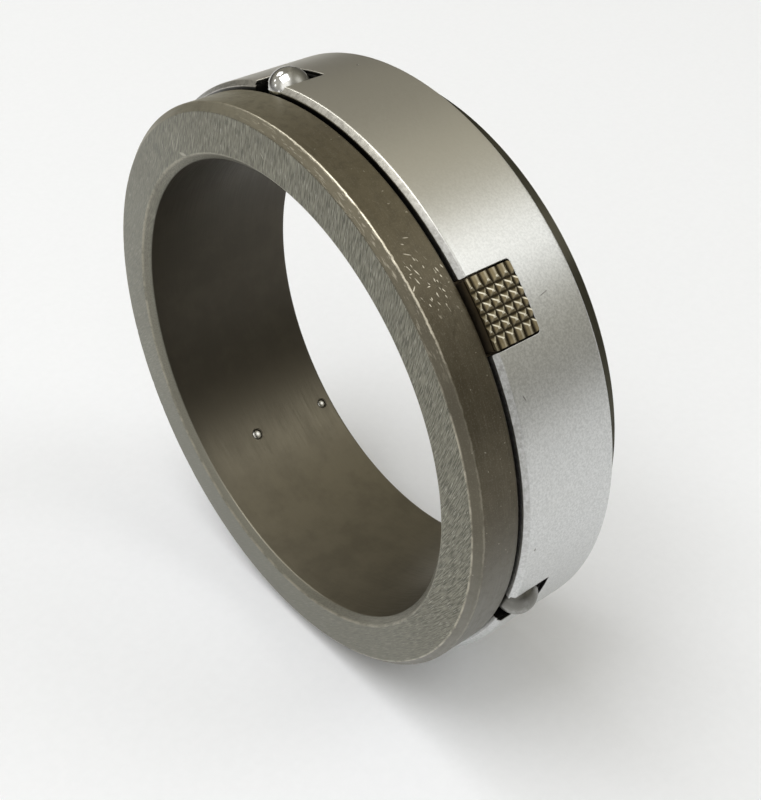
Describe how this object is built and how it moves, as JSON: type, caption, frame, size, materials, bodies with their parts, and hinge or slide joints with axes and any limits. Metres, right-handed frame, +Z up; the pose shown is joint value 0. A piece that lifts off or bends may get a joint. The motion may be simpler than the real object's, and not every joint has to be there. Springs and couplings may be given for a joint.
{
  "type": "winding core ring",
  "caption": "Flanged ring for a winding shaft whose outer sleeve turns a few degrees on ramps, lifting steel balls and knurled keys that grip the inside of a paper core.",
  "frame": {"origin": "on the bore axis, in the plane of the flange's front face", "axes": "+Y along the bore axis from the flange towards the rear ring, +Z up with the ring standing on its rim"},
  "size_m": [0.0752, 0.023, 0.076],
  "materials": {
    "ground_steel": "dark tempered steel, face ground in one direction",
    "satin_steel": "fine satin steel, even and matte-bright",
    "dark_steel": "oil-blackened steel",
    "polished_steel": "mirror-polished bearing ball",
    "bronzed_steel": "hardened steel with a brown temper colour, square knurl",
    "spring_steel": "plain spring steel",
    "pin_steel": "ground dowel pin"
  },
  "bodies": {
    "hub": {"hub_flange": "ground_steel", "rear_ring": "dark_steel", "stop_pin_1": "pin_steel", "stop_pin_2": "pin_steel", "stop_pin_3": "pin_steel", "ring_pin_1": "pin_steel", "ring_pin_2": "pin_steel", "ring_pin_3": "pin_steel", "return_spring_1": "spring_steel", "return_spring_2": "spring_steel", "return_spring_3": "spring_steel"},
    "sleeve": {"ball_sleeve": "satin_steel", "key_spring_1": "spring_steel", "key_spring_2": "spring_steel", "key_spring_3": "spring_steel"},
    "ball_1": {"ball_1": "polished_steel"},
    "ball_2": {"ball_2": "polished_steel"},
    "ball_3": {"ball_3": "polished_steel"},
    "key_1": {"grip_key_1": "bronzed_steel"},
    "key_2": {"grip_key_2": "bronzed_steel"},
    "key_3": {"grip_key_3": "bronzed_steel"}
  },
  "joints": [
    {"name": "sleeve_turn", "type": "hinge", "parent": "hub", "child": "sleeve", "pos_m": [0, 0.0127, 0], "axis": [0, -1, 0], "range_deg": [-6.5, 1], "stiffness_Nm_per_rad": 0.5, "deforming": ["return_spring_1", "return_spring_2", "return_spring_3"]},
    {"name": "ball_lift_1", "type": "slide", "parent": "sleeve", "child": "ball_1", "axis": [-0.1874, 0, 0.9823], "range_m": [-0.00091, 0.00014]},
    {"name": "ball_lift_2", "type": "slide", "parent": "sleeve", "child": "ball_2", "axis": [-0.757, 0, -0.6534], "range_m": [-0.00091, 0.00014]},
    {"name": "ball_lift_3", "type": "slide", "parent": "sleeve", "child": "ball_3", "axis": [0.9444, 0, -0.3289], "range_m": [-0.00091, 0.00014]},
    {"name": "key_lift_1", "type": "slide", "parent": "sleeve", "child": "key_1", "axis": [0.7593, 0, 0.6508], "range_m": [-0.000652, 0.000102], "deforming": ["key_spring_1"]},
    {"name": "key_lift_2", "type": "slide", "parent": "sleeve", "child": "key_2", "axis": [-0.9432, 0, 0.3322], "range_m": [-0.000652, 0.000102], "deforming": ["key_spring_2"]},
    {"name": "key_lift_3", "type": "slide", "parent": "sleeve", "child": "key_3", "axis": [0.184, 0, -0.9829], "range_m": [-0.000652, 0.000102], "deforming": ["key_spring_3"]}
  ],
  "couplings": [
    {"joint": "ball_lift_1", "follows": "sleeve_turn", "m_per_rad": 0.0080214},
    {"joint": "ball_lift_2", "follows": "sleeve_turn", "m_per_rad": 0.0080214},
    {"joint": "ball_lift_3", "follows": "sleeve_turn", "m_per_rad": 0.0080214},
    {"joint": "key_lift_1", "follows": "sleeve_turn", "m_per_rad": 0.0057296},
    {"joint": "key_lift_2", "follows": "sleeve_turn", "m_per_rad": 0.0057296},
    {"joint": "key_lift_3", "follows": "sleeve_turn", "m_per_rad": 0.0057296}
  ]
}
